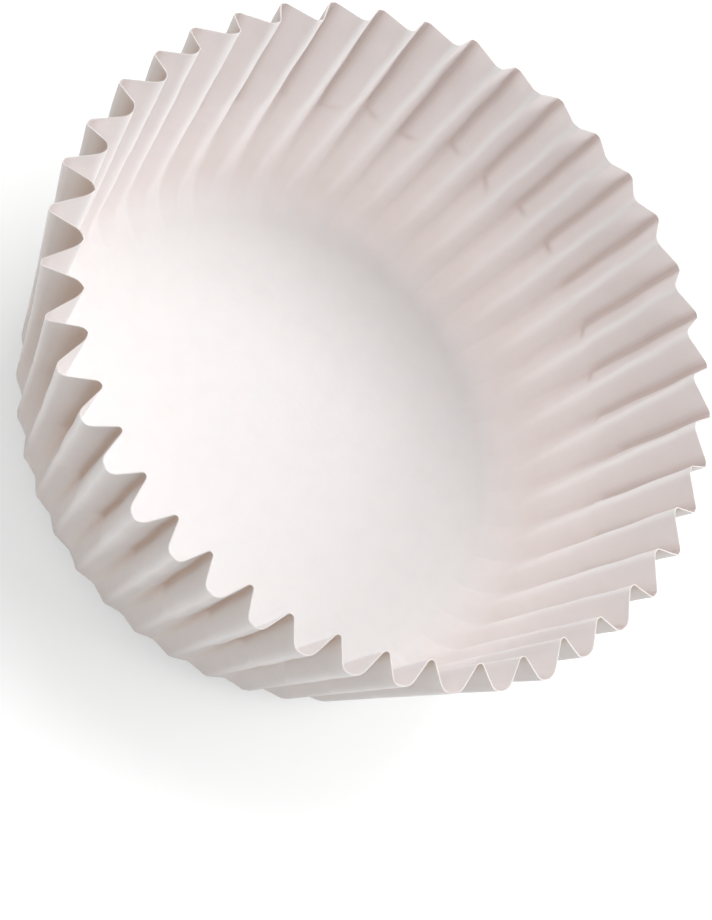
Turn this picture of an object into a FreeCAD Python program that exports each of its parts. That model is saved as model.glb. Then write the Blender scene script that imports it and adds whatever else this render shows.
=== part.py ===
# Cupcake liner: one disc of greaseproof paper pressed into a fluted cup.
# Millimetres, +Z up. The origin is the centre of the underside of the floor, where the cup stands.
import FreeCAD, Part
import math
import os

# Driving sizes. A crest is a fold that points out of the cup, a valley one that points into it.
# Fold radii are those of the middle of the paper. Angles are in degrees.
SIZES = [
    ("pleats", 42, "folds of each kind round the wall"),
    ("paper", 0.1, "thickness of the paper"),
    ("blank_radius", 54.5, "radius of the flat disc before it is pressed"),
    ("floor_radius", 22.5, "flat floor, out to where the corner starts"),
    ("corner_radius", 5, "bend from the floor up into the wall, along a crest"),
    ("crest_lean", 15.2, "lean of the crests from upright"),
    ("depth_tilt", 36, "how far the depth of the pleats is turned down from level"),
    ("valley_fold", 0.95, "radius of a valley fold"),
    ("crest_fold", 0.45, "radius of a crest fold"),
]

doc = FreeCAD.newDocument("CupcakeLiner")
sheet = doc.addObject("Spreadsheet::Sheet", "Sizes")
for row, (alias, value, note) in enumerate(SIZES, start=1):
    sheet.set(f"A{row}", alias)
    sheet.set(f"B{row}", str(value))
    sheet.set(f"C{row}", note)
    sheet.setAlias(f"B{row}", alias)
doc.recompute()

pleats = int(sheet.pleats)
paper = float(sheet.paper)
blank_radius = float(sheet.blank_radius)
floor_radius = float(sheet.floor_radius)
corner_radius = float(sheet.corner_radius)
crest_lean = math.radians(float(sheet.crest_lean))
depth_tilt = math.radians(float(sheet.depth_tilt))
valley_fold = float(sheet.valley_fold)
crest_fold = float(sheet.crest_fold)

half_pleat = math.pi / pleats
corner_turn = math.pi / 2 - crest_lean
corner_length = corner_radius * corner_turn
wall_length = blank_radius - floor_radius - corner_length

# The wall is worked out ring by ring: each ring is a circle on the flat disc, this far out from the
# edge of the floor. Three steps go round the corner, the others up the wall, closer near the corner
# where the pleats deepen fastest.
CORNER_SHARES = (0.35, 0.68, 1.0)
WALL_SHARES = (0.15, 0.45, 1.0)
RINGS = [share * corner_length for share in CORNER_SHARES]
RINGS += [corner_length + share * wall_length for share in WALL_SHARES]

# Flat facets that each half of a fold is made of
VALLEY_FACETS = 2
CREST_FACETS = 1
FOLD_SUM = valley_fold + crest_fold
SOLVE_STEPS = 50
DEPTH_STEPS = 12


def meridian(distance):
    """Place and direction of a crest, this far up from the edge of the floor.

    Gives radius, height and the angle through which the paper has turned up from level.
    """
    turn = min(distance / corner_radius, corner_turn)
    radius = floor_radius + corner_radius * math.sin(turn)
    height = corner_radius * (1 - math.cos(turn))
    straight = max(distance - corner_length, 0)
    return radius + straight * math.cos(turn), height + straight * math.sin(turn), turn


def fold_slope(half_length, half_pitch):
    """How steeply the flat sides must stand to fit one length of paper into a shorter pitch.

    Half a pleat is a valley arc, a flat side and a crest arc. Its paper is half_length long, and the
    slope at which it just spans half_pitch is found by halving the interval.
    """
    low, high = 0.0, min(math.pi / 2, half_length / FOLD_SUM)
    for _ in range(SOLVE_STEPS):
        slope = (low + high) / 2
        span = (half_length - FOLD_SUM * slope) * math.cos(slope) + FOLD_SUM * math.sin(slope)
        low, high = (slope, high) if span > half_pitch else (low, slope)
    return slope


def fold_depth(half_length, slope):
    flat = half_length - FOLD_SUM * slope
    return flat * math.sin(slope) + FOLD_SUM * (1 - math.cos(slope))


def ring(distance):
    """One ring of the wall: the half-pleat profile and where it stands.

    The paper can't shrink, so the slope of the sides and the depth of the pleats follow from how much
    longer the ring is on the flat disc than on the cup.
    """
    radius, height, turn = meridian(distance)
    down = turn * (math.pi / 2 - depth_tilt) / corner_turn
    half_length = (floor_radius + distance) * half_pleat
    depth = 0.0
    for _ in range(DEPTH_STEPS):
        half_pitch = (radius - depth / 2 * math.sin(down)) * half_pleat
        slope = fold_slope(half_length, half_pitch)
        depth = fold_depth(half_length, slope)

    # along the pitch, depth below the crest, and slope, from the valley to the crest
    profile = []
    for step in range(VALLEY_FACETS + 1):
        angle = slope * step / VALLEY_FACETS
        profile.append(
            (valley_fold * math.sin(angle), valley_fold * (1 - math.cos(angle)) - depth, angle)
        )
    for step in range(CREST_FACETS, -1, -1):
        angle = slope * step / CREST_FACETS
        profile.append(
            (half_pitch - crest_fold * math.sin(angle), -crest_fold * (1 - math.cos(angle)), angle)
        )
    return {"profile": profile, "radius": radius, "height": height, "down": down}


def face_points(level, side):
    """The ring's points on one face of the paper, all round: side is +1 outside, -1 inside."""
    offset = side * paper / 2
    half = []
    for along, depth, angle in level["profile"]:
        along -= offset * math.sin(angle)
        depth += offset * math.cos(angle)
        radius = level["radius"] + depth * math.sin(level["down"])
        height = level["height"] + paper / 2 - depth * math.cos(level["down"])
        half.append((radius, height, along / radius))
    full = [(radius, height, -turn) for radius, height, turn in half[:0:-1]] + half[:-1]
    points = []
    for index in range(pleats):
        centre = 2 * half_pleat * index
        for radius, height, turn in full:
            angle = centre + turn
            points.append(FreeCAD.Vector(radius * math.cos(angle), radius * math.sin(angle), height))
    return points


def floor_points(first, height):
    """The edge of the floor, in line with the points of the first ring above it."""
    points = []
    for point in first:
        share = floor_radius / math.hypot(point.x, point.y)
        points.append(FreeCAD.Vector(share * point.x, share * point.y, height))
    return points


def flat_face(*corners):
    return Part.Face(Part.makePolygon([*corners, corners[0]]))


def band(lower, upper, turned):
    """Flat facets between two rings, two to each side of the profile."""
    faces = []
    for i in range(len(lower)):
        j = (i + 1) % len(lower)
        corners = [(lower[i], lower[j], upper[j]), (lower[i], upper[j], upper[i])]
        for a, b, c in corners:
            faces.append(flat_face(a, c, b) if turned else flat_face(a, b, c))
    return faces


levels = [ring(distance) for distance in RINGS]
outer = [face_points(level, 1) for level in levels]
inner = [face_points(level, -1) for level in levels]
outer.insert(0, floor_points(outer[0], 0))
inner.insert(0, floor_points(inner[0], paper))

faces = [flat_face(*reversed(outer[0])), flat_face(*inner[0])]
for lower, upper in zip(outer, outer[1:]):
    faces += band(lower, upper, False)
for lower, upper in zip(inner, inner[1:]):
    faces += band(lower, upper, True)
faces += band(outer[-1], inner[-1], False)
# sewing joins the facets along their shared edges
shell = Part.makeShell(faces)
shell.sewShape()
cup = Part.Solid(shell)
if cup.Volume < 0:
    cup.reverse()

liner = doc.addObject("Part::Feature", "Liner")
liner.Label = "liner"
liner.Shape = cup
liner.Placement = FreeCAD.Placement()
doc.recompute()

# Nothing is written unless every object is sound
for item in doc.Objects:
    if "Invalid" in item.State or "Error" in item.State:
        raise RuntimeError(f"{item.Name} failed: {item.State}")
parts = [liner]
os.makedirs("parts", exist_ok=True)
for item in parts:
    if item.Shape.isNull() or not item.Shape.isValid():
        raise RuntimeError(f"{item.Label} is not a valid solid")
    if len(item.Shape.Solids) != 1:
        raise RuntimeError(f"{item.Label} is not one solid")
    item.Shape.exportStep(f"parts/{item.Label}.step")
    print(item.Label, "volume mm3", round(item.Shape.Volume, 1), "area mm2", round(item.Shape.Area, 1))
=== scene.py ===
import math
import bpy
import numpy as np
from mathutils import Matrix, Vector


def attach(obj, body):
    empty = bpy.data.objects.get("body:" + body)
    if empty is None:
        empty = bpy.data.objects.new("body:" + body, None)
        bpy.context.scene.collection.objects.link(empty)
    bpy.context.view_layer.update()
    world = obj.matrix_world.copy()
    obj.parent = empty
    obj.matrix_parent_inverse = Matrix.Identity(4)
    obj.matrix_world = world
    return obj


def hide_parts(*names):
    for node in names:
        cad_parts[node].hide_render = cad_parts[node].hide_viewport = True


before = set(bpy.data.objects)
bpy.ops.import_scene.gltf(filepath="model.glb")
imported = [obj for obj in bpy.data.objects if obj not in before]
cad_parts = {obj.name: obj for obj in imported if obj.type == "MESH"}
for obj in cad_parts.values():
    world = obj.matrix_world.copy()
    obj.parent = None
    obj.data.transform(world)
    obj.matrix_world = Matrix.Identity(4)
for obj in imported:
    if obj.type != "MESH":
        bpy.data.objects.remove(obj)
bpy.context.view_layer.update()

millimetre = 0.001

# The cup, in millimetres and degrees. A crest is a fold that points out of the cup, a valley one
# that points into it. The first seven sizes are those of the model's source. A side of the cup is
# given by its middle in degrees round from +X, the cosine at its edge and the rise in cosine that
# makes it full. Fold radii are those of the valley and of the crest.
cup = {
    "pleats": 42,
    "paper": 0.1,               # thickness
    "blankRadius": 54.5,        # the flat disc before pressing
    "floorRadius": 22.5,
    "cornerRadius": 5.0,
    "crestLean": 15.2,
    "depthTilt": 36.0,
    "softFolds": (1.05, 0.66),  # fold radii below the kinks, where the flutes are rounder
    "sharpFolds": (0.62, 0.36),  # and above them
    "wideFolds": (1.05, 0.34),  # above them on the side where the valleys are wide
    "wideSide": (55.0, 0.42, 0.5),
    "keenFolds": (0.40, 1.15),  # and on the side where the valleys are keen and the crests round
    "keenSide": (143.0, 0.28, 0.4),
    "valleySteps": 3,           # grid steps on each half of a fold, and on each flat side
    "sideSteps": 4,
    "crestSteps": 3,
    "floorRows": (2.0, 5.0, 9.0, 13.0, 17.0, 19.8, 21.6),
    "cornerRows": 6,
    "lowRows": 9,               # rows of the wall below, in and above the band with the kinks
    "kinkRows": 15,
    "highRows": 10,
    "kinkBand": (15.6, 20.6),
    "floorDome": 0.25,          # height of the floor's soft waves, their middle, and for each its
    "floorMiddle": 0.5,         # share, its turn per millimetre along X and Y, and its start
    "floorWaves": ((0.2, 0.21, 0, 0.4), (0.2, 0.102, -0.136, 1.3), (0.1, 0.108, 0.342, 0)),
}
wallLength = cup["blankRadius"] - cup["floorRadius"]
pitch = 2 * math.pi / cup["pleats"]

# How the pressed cup strays from the even one
stray = {
    "seed": 20,
    "limit": 1.8,               # no fold strays by more than this many times the usual
    "foldTurn": 0.14,           # how far a fold strays along the ring at the rim
    "foldPush": 0.14,           # how far it stands in or out, and the power of its growth
    "pushRise": 1.5,
    "rimTrim": 0.12,            # unevenness of the cut edge, and the power of its growth
    "trimRise": 6,
    "flareTurn": 60.0,          # the side where the crests stand further out, in degrees
    "flareWidth": 0.08,         # its half width, as the cosine's fall from one
    "flareOut": 0.75,           # how far out, and the power of its growth
    "flareRise": 2,
    "ovalTurns": (1, 2, 3),     # slow waves round the rim, outwards and upwards
    "ovalOut": ((-0.07, 0.09), (0.48, 0.40), (-0.18, -0.03)),
    "ovalUp": ((0.17, -0.25), (0.0, -0.17), (0.0, 0.16)),
    "foldWave": 0.07,           # small waves of each fold line, and their length
    "foldWaveLength": 7.5,
    "kinkPlaces": (16.2, 19.8),
    "kinkStep": 1.6,            # length of the change from round folds to sharp ones
    "kinkShare": 0.85,          # share of the creases that carry a clear kink
    "kinkStrengths": (0.55, 1.0),
    "kinkFaint": 0.1,           # strength of the others
    "kinkPush": 0.26,           # how far the paper above a kink stands into the cup
    "kinkRise": 0.22,           # length of its quick rise and of its slow fall towards the rim
    "kinkFall": 1.7,
    "kinkSide": -0.7,           # its place across the crease, and its half width
    "kinkReach": 0.62,
    "kinkShadowHeight": 0.45,         # the painted shadow at a kink, up the wall and across it
    "kinkShadowReach": 0.5,
    "kinkShadowLean": 0.35,           # its greatest slant
}

# Painted shade and painted highlight on the folds: a dark line in each hollow, a pale one on each ridge, and
# more painted shade at the foot of the wall and at the kinks
paintedShadeAndHighlight = {
    "outsideWidth": 1.25,       # half width of the dark line of painted shade in a fold
    "insideWidth": 0.42,
    "keenWidth": 0.5,           # the outside one where the valleys are keen
    "wideExtra": 0.45,          # and what is added where they are wide
    "outsideDepth": 1.0,
    "insideDepth": 0.72,
    "core": 0.75,               # share of the line that is narrow, and how much wider the rest is
    "spread": 2.6,
    "lowDepth": 0.72,           # its strength below the kinks
    "lineRise": (2.6, 0.45),    # its growth up the wall: so many times the way up, less this much
    "footShade": 0.16,           # painted shade, deeper at the foot of the wall, its place and reach
    "footPlace": 6.0,
    "footReach": 5.0,
    "kinkShadowDepth": 0.8,           # strength of the painted shadows at the kinks, and the side that shows them
    "kinkShadowSide": (292.0, 0.55, 0.35),
    "ridgeWidth": 0.36,         # half width of the painted highlight, a pale line on a fold that points at the eye
    "ridgeRise": (2.0, 0.35),
}


# A crest's place this far up the paper from the edge of the floor: an arc of the corner's radius,
# then a straight line at its end's direction. Gives radius, height and turn from level.
def meridian(distance):
    cornerTurn = math.radians(90 - cup["crestLean"])
    turn = np.clip(distance / cup["cornerRadius"], 0, cornerTurn)
    straight = np.maximum(distance - cup["cornerRadius"] * cornerTurn, 0)
    radius = cup["floorRadius"] + cup["cornerRadius"] * np.sin(turn) + straight * np.cos(turn)
    height = cup["cornerRadius"] * (1 - np.cos(turn)) + straight * np.sin(turn)
    return radius, height, turn


# Half a pleat of every row, from the valley to the crest: an arc, a flat side and an arc, whose
# length is that of the same ring on the flat disc. With h that half length, c the sum of the two
# fold radii and a the slope of the side, the half pitch is (h - c a) cos a + c sin a, which is
# solved for a by halving the interval, and the depth is (h - c a) sin a + c (1 - cos a).
def foldProfile(distance, folds):
    depthRounds, halvings = 12, 45
    radius, height, turn = meridian(distance)
    halfPleat = pitch / 2
    valleyFold, crestFold = folds
    foldSum = valleyFold + crestFold
    down = turn * (90 - cup["depthTilt"]) / (90 - cup["crestLean"])
    halfLength = (cup["floorRadius"] + distance) * halfPleat
    depth = np.zeros_like(distance)
    for _ in range(depthRounds):
        halfPitch = (radius - depth / 2 * np.sin(down)) * halfPleat
        low, high = np.zeros_like(distance), np.minimum(math.pi / 2, halfLength / foldSum)
        for _ in range(halvings):
            slope = (low + high) / 2
            span = (halfLength - foldSum * slope) * np.cos(slope) + foldSum * np.sin(slope)
            low, high = np.where(span > halfPitch, slope, low), np.where(span > halfPitch, high, slope)
        depth = (halfLength - foldSum * slope) * np.sin(slope) + foldSum * (1 - np.cos(slope))
    valley = slope[:, None] * np.linspace(0, 1, cup["valleySteps"] + 1)
    crest = slope[:, None] * np.linspace(1, 0, cup["crestSteps"] + 1)
    along = [valleyFold * np.sin(valley), halfPitch[:, None] - crestFold * np.sin(crest)]
    below = [valleyFold * (1 - np.cos(valley)) - depth[:, None], -crestFold * (1 - np.cos(crest))]
    share = np.linspace(0, 1, cup["sideSteps"] + 1)[1:-1]

    def joined(pair):
        side = pair[0][:, -1:] + (pair[1][:, :1] - pair[0][:, -1:]) * share
        return np.hstack([pair[0], side, pair[1]])

    angle = np.hstack([valley, np.repeat(slope[:, None], len(share), 1), crest])
    return joined(along), joined(below), angle, radius, height, down


# One face of the paper on a grid of rows and columns: the half pleat mirrored and repeated round the
# cup, and moved half the paper's thickness along its own normal. Gives radius, height, turn and how
# far along the paper each point lies from the valley and from the crest.
def facePoints(distance, side, folds):
    along, below, angle, radius, height, down = foldProfile(distance, folds)
    pieces = np.hypot(np.diff(along), np.diff(below))
    fromValley = np.hstack([np.zeros((len(distance), 1)), np.cumsum(pieces, axis=1)])
    fromCrest = fromValley[:, -1:] - fromValley
    offset = side * cup["paper"] / 2
    along = along - offset * np.sin(angle)
    below = below + offset * np.cos(angle)
    r = radius[:, None] + below * np.sin(down)[:, None]
    z = height[:, None] + cup["paper"] / 2 - below * np.cos(down)[:, None]
    turn = along / r

    def whole(half, sign):
        return np.tile(np.hstack([half[:, :-1], sign * half[:, :0:-1]]), (1, cup["pleats"]))

    # from a valley to the next one: the mirrored half counts back from the next valley
    steps = turn.shape[1] - 1
    places = np.repeat(np.arange(cup["pleats"]) * pitch, 2 * steps)
    back = np.tile(np.repeat([0.0, pitch], steps), cup["pleats"])
    turn = whole(turn, -1) + places + back
    return whole(r, 1), whole(z, 1), turn, whole(fromValley, 1), whole(fromCrest, 1)


# A value at each fold, straight in between: fold i of the 84 stands at i half pleats.
def roundInterp(turn, values):
    place = turn / (pitch / 2)
    lower = np.floor(place).astype(int)
    share = place - lower
    count = len(values)
    return values[lower % count] * (1 - share) + values[(lower + 1) % count] * share


# Nought below 0, one above 1, and 3 v v - 2 v v v in between.
def smoothStep(value):
    value = np.clip(value, 0, 1)
    return value * value * (3 - 2 * value)


# One on a side of the cup and nought away from it: a smooth step of the cosine of the angle from the
# side's middle.
def sideShare(turn, side):
    middle, edge, rise = side
    return smoothStep((np.cos(turn - math.radians(middle)) - edge) / rise)


# How much of something there is this far up the wall: a straight growth, held between 0 and 1.
def growth(distance, rise):
    times, less = rise
    return np.clip(distance / wallLength * times - less, 0, 1)[:, None]


# Where each crease has its kink and how strong it is, drawn evenly from a range: the places are given
# for the 84 folds in turn, valley and crest, the strengths for the 42 crests.
def kinkPlan():
    rng = np.random.default_rng(stray["seed"])
    pleats = cup["pleats"]
    place = rng.uniform(*stray["kinkPlaces"], pleats)
    clear = rng.uniform(0, 1, pleats) < stray["kinkShare"]
    strength = np.where(clear, rng.uniform(*stray["kinkStrengths"], pleats), stray["kinkFaint"])
    # a valley's change of shape is at a place of its own
    between = rng.uniform(*stray["kinkPlaces"], pleats)
    return np.stack([between, place], 1).ravel(), strength


# Makes the even cup a pressed one. Every fold strays a little along its ring and in or out, in
# proportion to its way up the wall, and the rim goes in slow waves. At a kink the paper above stands
# into the cup: a quick rise, then a slow fall towards the rim, as a bell across. The painted shadow
# of that step is a dark bell both ways. Gives the new radius, height and turn, and the painted shadows.
def wander(r, z, turn, distance):
    rng = np.random.default_rng(stray["seed"] + 1)
    folds, limit = 2 * cup["pleats"], stray["limit"]
    up = np.clip(distance / wallLength, 0, 1)[:, None]
    strayTurn = rng.normal(0, 1, folds).clip(-limit, limit)
    strayPush = rng.normal(0, 1, folds).clip(-limit, limit)
    trim = rng.normal(0, 1, folds).clip(-limit, limit)
    phase = rng.uniform(0, 2 * math.pi, folds)
    along = 2 * math.pi * distance[:, None] / stray["foldWaveLength"]
    wave = roundInterp(turn, np.cos(phase)) * np.cos(along) - roundInterp(turn, np.sin(phase)) * np.sin(along)
    newTurn = turn + up * (stray["foldTurn"] * roundInterp(turn, strayTurn) + stray["foldWave"] * wave) / r
    newR = r + up ** stray["pushRise"] * stray["foldPush"] * roundInterp(turn, strayPush)
    newZ = z + up ** stray["trimRise"] * stray["rimTrim"] * roundInterp(turn, trim)
    # on one side the crests stand further out
    crestOnly = roundInterp(turn, np.tile([0.0, 1.0], cup["pleats"]))
    flare = np.exp(-((np.cos(turn - math.radians(stray["flareTurn"])) - 1) / stray["flareWidth"]) ** 2)
    newR = newR + up ** stray["flareRise"] * stray["flareOut"] * crestOnly * flare
    for turns, (outCos, outSin), (upCos, upSin) in zip(stray["ovalTurns"], stray["ovalOut"], stray["ovalUp"]):
        newR = newR + up * (outCos * np.cos(turns * turn) + outSin * np.sin(turns * turn))
        newZ = newZ + up * (upCos * np.cos(turns * turn) + upSin * np.sin(turns * turn))
    place, strength = kinkPlan()
    above = distance[:, None] - roundInterp(turn, place)
    crest = np.floor(turn / pitch).astype(int)
    across = (turn - (crest + 0.5) * pitch) * r - stray["kinkSide"]
    crest = crest % cup["pleats"]
    bell = np.exp(-(across / stray["kinkReach"]) ** 2)
    rise = smoothStep(above / stray["kinkRise"] + 0.5)
    fall = np.exp(-np.maximum(above, 0) / stray["kinkFall"])
    newR = newR - stray["kinkPush"] * strength[crest] * bell * rise * fall
    # a painted shadow below the step that the kink makes, a bell both ways
    lean = rng.uniform(-stray["kinkShadowLean"], stray["kinkShadowLean"], cup["pleats"])[crest]
    kinkShadow = np.exp(-((above + lean * across) / stray["kinkShadowHeight"]) ** 2)
    kinkShadow = kinkShadow * np.exp(-(across / stray["kinkShadowReach"]) ** 2)
    return newR, newZ, newTurn, strength[crest] * kinkShadow


# Slow waves of the pressed floor: three cosines at set angles round their middle, which together
# never fall below nought and die out towards the corner with the fourth power of the way out.
def floorWave(x, y):
    wave = cup["floorMiddle"]
    for share, alongX, alongY, start in cup["floorWaves"]:
        wave = wave + share * np.cos(alongX * x + alongY * y + start)
    reach = np.hypot(x, y) / cup["floorRadius"]
    return cup["floorDome"] * wave * np.clip(1 - reach ** 4, 0, 1)


# The rows of the wall, as distances up the paper from the edge of the floor: even steps round the
# corner, then below, in and above the band with the kinks.
def wallRows():
    cornerLength = cup["cornerRadius"] * math.radians(90 - cup["crestLean"])
    stops = (0, cornerLength, *cup["kinkBand"], wallLength)
    counts = (cup["cornerRows"], cup["lowRows"], cup["kinkRows"], cup["highRows"])
    parts = zip(stops, stops[1:], counts)
    return np.concatenate([np.linspace(start, end, count + 1)[1:] for start, end, count in parts])


# One face of the wall: round folds low down and, past each fold's own kink, sharper ones that blend
# from one side of the cup to the next by the cosine of the angle between. Gives radius, height, turn,
# painted shade and painted highlight. The painted shade is a bell of the distance along the paper
# from the hollow of a fold, that of a crest inside and of a valley outside; the highlight is a bell on its
# ridge.
def wallFace(distance, side):
    kinds = ("softFolds", "sharpFolds", "wideFolds", "keenFolds")
    soft, sharp, wide, keen = (facePoints(distance, side, cup[kind]) for kind in kinds)
    turn = soft[2]
    share = smoothStep((distance[:, None] - roundInterp(turn, kinkPlan()[0])) / stray["kinkStep"] + 0.5)
    narrow = sideShare(turn, cup["keenSide"])
    broad = (1 - narrow) * sideShare(turn, cup["wideSide"])
    top = [one + (two - one) * broad + (three - one) * narrow for one, two, three in zip(sharp, wide, keen)]
    r, z, turn, fromValley, fromCrest = (low + (high - low) * share for low, high in zip(soft, top))
    r, z, turn, kinkShadow = wander(r, z, turn, distance)
    # the painted shade lies in the hollows, those of the valleys outside and of the crests inside
    if side > 0:
        hollow, crown, depth = fromValley, fromCrest, paintedShadeAndHighlight["outsideDepth"]
        width = paintedShadeAndHighlight["outsideWidth"] + (paintedShadeAndHighlight["keenWidth"] - paintedShadeAndHighlight["outsideWidth"]) * narrow
        width = width + paintedShadeAndHighlight["wideExtra"] * broad
    else:
        hollow, crown, depth, width = fromCrest, fromValley, paintedShadeAndHighlight["insideDepth"], paintedShadeAndHighlight["insideWidth"]
    core = np.exp(-(hollow / width) ** 2)
    rest = np.exp(-(hollow / width / paintedShadeAndHighlight["spread"]) ** 2)
    paintedShade = depth * (paintedShadeAndHighlight["core"] * core + (1 - paintedShadeAndHighlight["core"]) * rest)
    paintedShade = paintedShade * (paintedShadeAndHighlight["lowDepth"] + (1 - paintedShadeAndHighlight["lowDepth"]) * share) * growth(distance, paintedShadeAndHighlight["lineRise"])
    # inside, more painted shade at the foot of the wall and painted shadows at the kinks
    if side < 0:
        foot = np.exp(-((distance[:, None] - paintedShadeAndHighlight["footPlace"]) / paintedShadeAndHighlight["footReach"]) ** 2)
        kinkShadowShown = kinkShadow * sideShare(turn, paintedShadeAndHighlight["kinkShadowSide"])
        paintedShade = paintedShade + paintedShadeAndHighlight["footShade"] * foot + paintedShadeAndHighlight["kinkShadowDepth"] * kinkShadowShown
    # painted highlight on the ridges, growing up the wall
    paintedHighlight = np.exp(-(crown / paintedShadeAndHighlight["ridgeWidth"]) ** 2) * growth(distance, paintedShadeAndHighlight["ridgeRise"])
    return r, z, turn, np.clip(paintedShade, 0, 1), paintedHighlight


# One whole face of the cup, floor and wall: points, place on the flat disc, the painted shade and
# painted highlight, and the point in the middle. The floor's rows run in line with the first row of the
# corner.
def wholeFace(distance, side):
    r, z, turn, paintedShade, paintedHighlight = wallFace(distance, side)
    rows = np.append(np.array(cup["floorRows"]), cup["floorRadius"])
    level = 0 if side > 0 else cup["paper"]
    outwards = np.stack([np.cos(turn[0]), np.sin(turn[0])], -1)
    floorX, floorY = np.moveaxis(rows[:, None, None] * outwards, -1, 0)
    x = np.vstack([floorX, r * np.cos(turn)])
    y = np.vstack([floorY, r * np.sin(turn)])
    z = np.vstack([level + floorWave(floorX, floorY), z])
    reach = np.concatenate([rows, cup["floorRadius"] + distance])
    plain = np.zeros_like(floorX)
    middle = np.array([0, 0, level + floorWave(0.0, 0.0)])
    flat = reach[:, None, None] * outwards
    return np.stack([x, y, z], -1), flat, np.vstack([plain, paintedShade]), np.vstack([plain, paintedHighlight]), middle


# The closed skin of the paper: a path of rows from the middle of the underside out over the floor,
# up the outside, over the cut edge and back down the inside to the middle of the floor. Quads join
# each row to the next, and fans of triangles close the two middles.
def buildCup():
    distance = wallRows()
    (outer, outerFlat, *outerTones, lowPole), (inner, innerFlat, *innerTones, highPole) = (
        wholeFace(distance, side) for side in (1, -1))
    grid = np.concatenate([outer, inner[::-1]])
    points = np.vstack([grid.reshape(-1, 3), lowPole, highPole]) * millimetre
    rows, columns = grid.shape[:2]
    index = np.arange(rows * columns).reshape(rows, columns)
    after = np.roll(index, -1, axis=1)
    quads = np.stack([index[:-1], after[:-1], after[1:], index[1:]], -1).reshape(-1, 4)
    lowFan = np.stack([after[0], index[0], np.full(columns, rows * columns)], -1)
    highFan = np.stack([index[-1], after[-1], np.full(columns, rows * columns + 1)], -1)
    corners = np.concatenate([quads.ravel(), lowFan.ravel(), highFan.ravel()])
    counts = np.concatenate([np.full(len(quads), 4), np.full(2 * columns, 3)])
    mesh = bpy.data.meshes.new("linerPaper")
    mesh.vertices.add(len(points))
    mesh.vertices.foreach_set("co", points.astype(np.float32).ravel())
    mesh.loops.add(len(corners))
    mesh.loops.foreach_set("vertex_index", corners.astype(np.int32))
    mesh.polygons.add(len(counts))
    mesh.polygons.foreach_set("loop_start", np.concatenate([[0], np.cumsum(counts)[:-1]]).astype(np.int32))
    mesh.polygons.foreach_set("loop_total", counts.astype(np.int32))
    mesh.update(calc_edges=True)
    mesh.polygons.foreach_set("use_smooth", np.ones(len(counts), bool))
    # the two lips of the cut edge stay sharp
    ends = np.zeros(len(mesh.edges) * 2, np.int32)
    mesh.edges.foreach_get("vertices", ends)
    row = ends.reshape(-1, 2) // columns
    lip = len(outer) - 1
    sharp = (row[:, 0] == row[:, 1]) & ((row[:, 0] == lip) | (row[:, 0] == lip + 1))
    mesh.attributes.new("sharp_edge", "BOOLEAN", "EDGE").data.foreach_set("value", sharp)
    # the flat disc as a map, the two faces side by side
    shift, span = 60, 240
    flat = np.concatenate([outerFlat + [-shift, 0], innerFlat[::-1] + [shift, 0]]).reshape(-1, 2)
    flat = np.vstack([flat, [-shift, 0], [shift, 0]]) / span + 0.5
    mesh.uv_layers.new(name="blank").data.foreach_set("uv", flat[corners].astype(np.float32).ravel())
    # how strong the painted shade in the folds and the painted highlight on the ridges are at each point, and
    # which face it is on
    outerTones.append(np.ones_like(outerTones[0]))
    innerTones.append(np.zeros_like(innerTones[0]))
    for name, out, inside in zip(("creaseShade", "ridgeHighlight", "outside"), outerTones, innerTones):
        value = np.append(np.concatenate([out, inside[::-1]]).ravel(), [out[0, 0], inside[0, 0]])
        mesh.attributes.new(name, "FLOAT", "POINT").data.foreach_set("value", value.astype(np.float32))
    mesh.validate()
    piece = bpy.data.objects.new("linerPaper", mesh)
    bpy.context.scene.collection.objects.link(piece)
    return piece


paper = {
    "colour": (0.86, 0.806, 0.796),
    "shade": (0.845, 0.791, 0.78),
    "outside": (0.90, 0.925, 0.92),  # tint of the outer face, painted shade that makes it darker and greyer
    "creaseShade": (0.44, 0.375, 0.355),  # painted shade in the folds, inside, and outside
    "creaseShadeOutside": (0.45, 0.35, 0.285),
    "creaseShadeShare": 0.80,
    # painted highlight on the ridges
    "ridgeHighlight": (0.97, 0.935, 0.92),
    "roughness": 0.62,
    "roughSpread": 0.08,
    "gloss": 0.35,
    "scatter": 0.9,
    "scatterColour": (1.0, 0.9, 0.85),
    "scatterReach": 0.00028,    # in metres, as is the bump's height
    "cloudScale": 420.0,
    "cloudDetail": 5.0,
    "cloudRange": (0.3, 0.55),
    "fibreScale": 2600.0,
    "fibreDetail": 4.0,
    "bump": 0.25,
    "bumpHeight": 0.00004,
}


# A mix of two colours by a share. Each of the three is a socket or, for a colour, a plain triple.
def mixed(tree, share, first, second, blend="MIX"):
    node = tree.nodes.new("ShaderNodeMix")
    node.data_type = "RGBA"
    node.blend_type = blend
    shareSocket, firstSocket, secondSocket, resultSocket = 0, 6, 7, 2
    for socket, value in ((shareSocket, share), (firstSocket, first), (secondSocket, second)):
        if isinstance(value, tuple):
            node.inputs[socket].default_value = (*value, 1)
        else:
            tree.links.new(value, node.inputs[socket])
    return node.outputs[resultSocket]


# A number that the mesh carries at each point
def carried(tree, name):
    node = tree.nodes.new("ShaderNodeAttribute")
    node.attribute_name = name
    return node.outputs["Fac"]


# A noise on the piece's own coordinates
def noise(tree, place, scale, detail):
    node = tree.nodes.new("ShaderNodeTexNoise")
    node.inputs["Scale"].default_value = scale
    node.inputs["Detail"].default_value = detail
    tree.links.new(place, node.inputs["Vector"])
    return node.outputs["Fac"]
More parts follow.
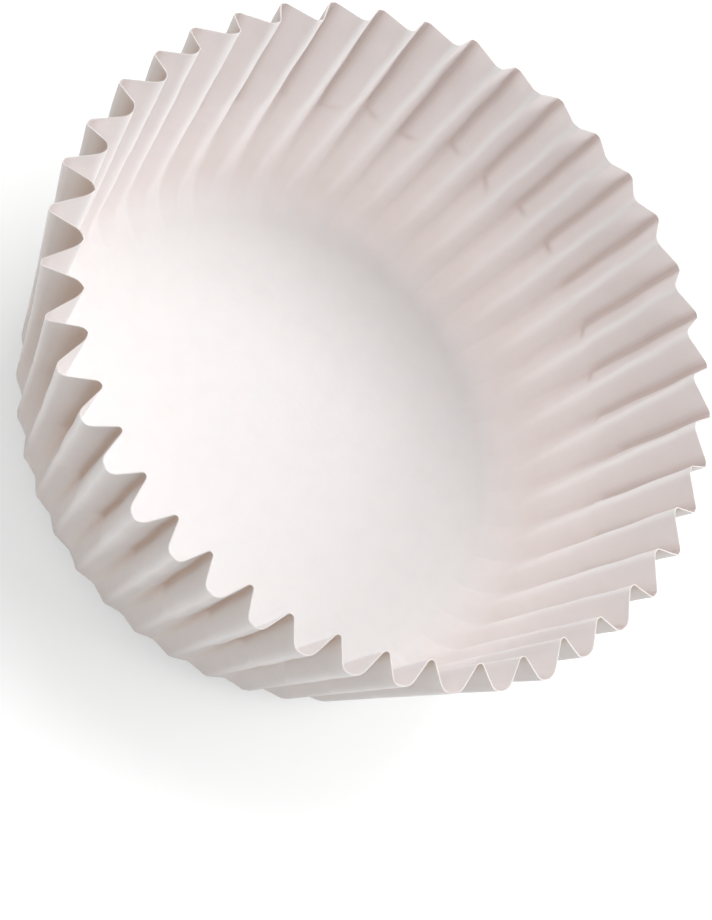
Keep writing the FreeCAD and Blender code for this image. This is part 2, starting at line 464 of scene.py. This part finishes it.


# Greaseproof paper: a pale tone that clouds slightly, with painted shade that makes it duller outside and
# darker in the folds and a painted highlight on the ridges, a fine fibre bump and light that passes into the
# sheet.
def paperMaterial():
    material = bpy.data.materials.new("greaseproofPaper")
    material.use_nodes = True
    tree = material.node_tree
    shader = tree.nodes["Principled BSDF"]
    place = tree.nodes.new("ShaderNodeTexCoord").outputs["Object"]
    spread = tree.nodes.new("ShaderNodeMapRange")
    spread.inputs["From Min"].default_value, spread.inputs["From Max"].default_value = paper["cloudRange"]
    tree.links.new(noise(tree, place, paper["cloudScale"], paper["cloudDetail"]), spread.inputs["Value"])
    tone = mixed(tree, spread.outputs["Result"], paper["shade"], paper["colour"])
    outside = carried(tree, "outside")
    # painted shade on the outer face, darker and greyer
    tone = mixed(tree, outside, tone, paper["outside"], "MULTIPLY")
    # painted shade in the folds, browner outside
    depth = tree.nodes.new("ShaderNodeMath")
    depth.operation = "MULTIPLY"
    depth.inputs[1].default_value = paper["creaseShadeShare"]
    tree.links.new(carried(tree, "creaseShade"), depth.inputs[0])
    brown = mixed(tree, outside, paper["creaseShade"], paper["creaseShadeOutside"])
    tone = mixed(tree, depth.outputs[0], tone, brown)
    # painted highlight on the ridges
    tone = mixed(tree, carried(tree, "ridgeHighlight"), tone, paper["ridgeHighlight"])
    tree.links.new(tone, shader.inputs["Base Color"])
    fibre = noise(tree, place, paper["fibreScale"], paper["fibreDetail"])
    rough = tree.nodes.new("ShaderNodeMapRange")
    rough.inputs["To Min"].default_value = paper["roughness"] - paper["roughSpread"]
    rough.inputs["To Max"].default_value = paper["roughness"] + paper["roughSpread"]
    tree.links.new(fibre, rough.inputs["Value"])
    tree.links.new(rough.outputs["Result"], shader.inputs["Roughness"])
    bump = tree.nodes.new("ShaderNodeBump")
    bump.inputs["Strength"].default_value = paper["bump"]
    bump.inputs["Distance"].default_value = paper["bumpHeight"]
    tree.links.new(fibre, bump.inputs["Height"])
    tree.links.new(bump.outputs["Normal"], shader.inputs["Normal"])
    shader.inputs["Subsurface Weight"].default_value = paper["scatter"]
    shader.inputs["Subsurface Radius"].default_value = paper["scatterColour"]
    shader.inputs["Subsurface Scale"].default_value = paper["scatterReach"]
    shader.inputs["Specular IOR Level"].default_value = paper["gloss"]
    return material


studio = {
    "floorHalf": 3.0,
    "floorDrop": 0.00003,       # a hair below the paper
    "floorColour": (0.6, 0.6, 0.6),
    "floorRoughness": 0.9,
    "floorGloss": 0.1,
    "floorGlow": 0.5,
    "worldColour": (1.0, 1.0, 1.0),
    "worldLevel": 0.46,
    "lookAt": (0, 0, 0.012),
    "keyWatts": 3.4,
    "keySize": 0.5,
    "keyFrom": (0.18, -0.185, 0.715),
    "fillWatts": 3.2,
    "fillSize": 0.5,
    "fillFrom": (-0.36, -0.48, 0.58),
}


# A level pale floor under the cup, a pale world and two soft lamps that look at the cup. The world is
# its level plus the rest up to one where the camera sees it.
def buildStudio():
    half, drop = studio["floorHalf"], studio["floorDrop"]
    mesh = bpy.data.meshes.new("studioFloor")
    square = [(-half, -half, -drop), (half, -half, -drop), (half, half, -drop), (-half, half, -drop)]
    mesh.from_pydata(square, [], [(0, 1, 2, 3)])
    floor = bpy.data.objects.new("studioFloor", mesh)
    bpy.context.scene.collection.objects.link(floor)
    material = bpy.data.materials.new("paleFloor")
    material.use_nodes = True
    shader = material.node_tree.nodes["Principled BSDF"]
    shader.inputs["Base Color"].default_value = (*studio["floorColour"], 1)
    shader.inputs["Roughness"].default_value = studio["floorRoughness"]
    shader.inputs["Specular IOR Level"].default_value = studio["floorGloss"]
    shader.inputs["Emission Color"].default_value = (1, 1, 1, 1)
    seen = cameraShare(material.node_tree, studio["floorGlow"])
    material.node_tree.links.new(seen, shader.inputs["Emission Strength"])
    mesh.materials.append(material)
    world = bpy.data.worlds.new("studioAir")
    bpy.context.scene.world = world
    world.use_nodes = True
    air = world.node_tree
    back = air.nodes["Background"]
    back.inputs["Color"].default_value = (*studio["worldColour"], 1)
    level = air.nodes.new("ShaderNodeMapRange")
    level.inputs["To Min"].default_value = studio["worldLevel"]
    level.inputs["To Max"].default_value = 1.0
    air.links.new(cameraShare(air, 1.0), level.inputs["Value"])
    air.links.new(level.outputs["Result"], back.inputs["Strength"])
    lamp("keyLamp", studio["keyWatts"], studio["keySize"], studio["keyFrom"])
    lamp("fillLamp", studio["fillWatts"], studio["fillSize"], studio["fillFrom"])


# The level where a ray comes from the camera, a mirror or glass, and nought elsewhere: the three
# shares are added, held at one, and multiplied by the level.
def cameraShare(tree, level):
    path = tree.nodes.new("ShaderNodeLightPath")
    total = path.outputs["Is Camera Ray"]
    for other in ("Is Glossy Ray", "Is Transmission Ray"):
        both = tree.nodes.new("ShaderNodeMath")
        both.operation = "ADD"
        both.use_clamp = True
        tree.links.new(total, both.inputs[0])
        tree.links.new(path.outputs[other], both.inputs[1])
        total = both.outputs[0]
    scaled = tree.nodes.new("ShaderNodeMath")
    scaled.operation = "MULTIPLY"
    scaled.inputs[1].default_value = level
    tree.links.new(total, scaled.inputs[0])
    return scaled.outputs[0]


# A square lamp that looks at the cup
def lamp(name, watts, size, place):
    light = bpy.data.lights.new(name, "AREA")
    light.energy = watts
    light.size = size
    holder = bpy.data.objects.new(name, light)
    holder.location = place
    holder.rotation_mode = "QUATERNION"
    holder.rotation_quaternion = (Vector(studio["lookAt"]) - Vector(place)).to_track_quat("-Z", "Y")
    bpy.context.scene.collection.objects.link(holder)


view = {
    "place": (-0.11295, 0.29162, 0.49075),
    "forward": (0.18605, -0.51337, -0.83776),
    "up": (0.91571, -0.21849, 0.33725),
    "lens": 234.8,
    "sensor": 36.0,
    "clip": (0.01, 10.0),
}


# The camera stands where the photograph was taken from, rolled as it was: its axes are the cross
# product of up and back, the cross product of back and that, and back.
def buildCamera():
    eye = bpy.data.cameras.new("photoCamera")
    eye.lens = view["lens"]
    eye.sensor_width = view["sensor"]
    eye.clip_start, eye.clip_end = view["clip"]
    holder = bpy.data.objects.new("photoCamera", eye)
    back = -Vector(view["forward"]).normalized()
    right = Vector(view["up"]).cross(back).normalized()
    up = back.cross(right)
    turn = Matrix((right, up, back)).transposed()
    holder.matrix_world = Matrix.Translation(view["place"]) @ turn.to_4x4()
    bpy.context.scene.collection.objects.link(holder)
    bpy.context.scene.camera = holder


print("camera and studio")
buildCamera()
buildStudio()
bpy.context.scene.view_settings.view_transform = "Standard"

print("pleated paper")
liner = buildCup()
liner.data.materials.append(paperMaterial())
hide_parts("liner")
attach(liner, "root")

bpy.context.view_layer.update()
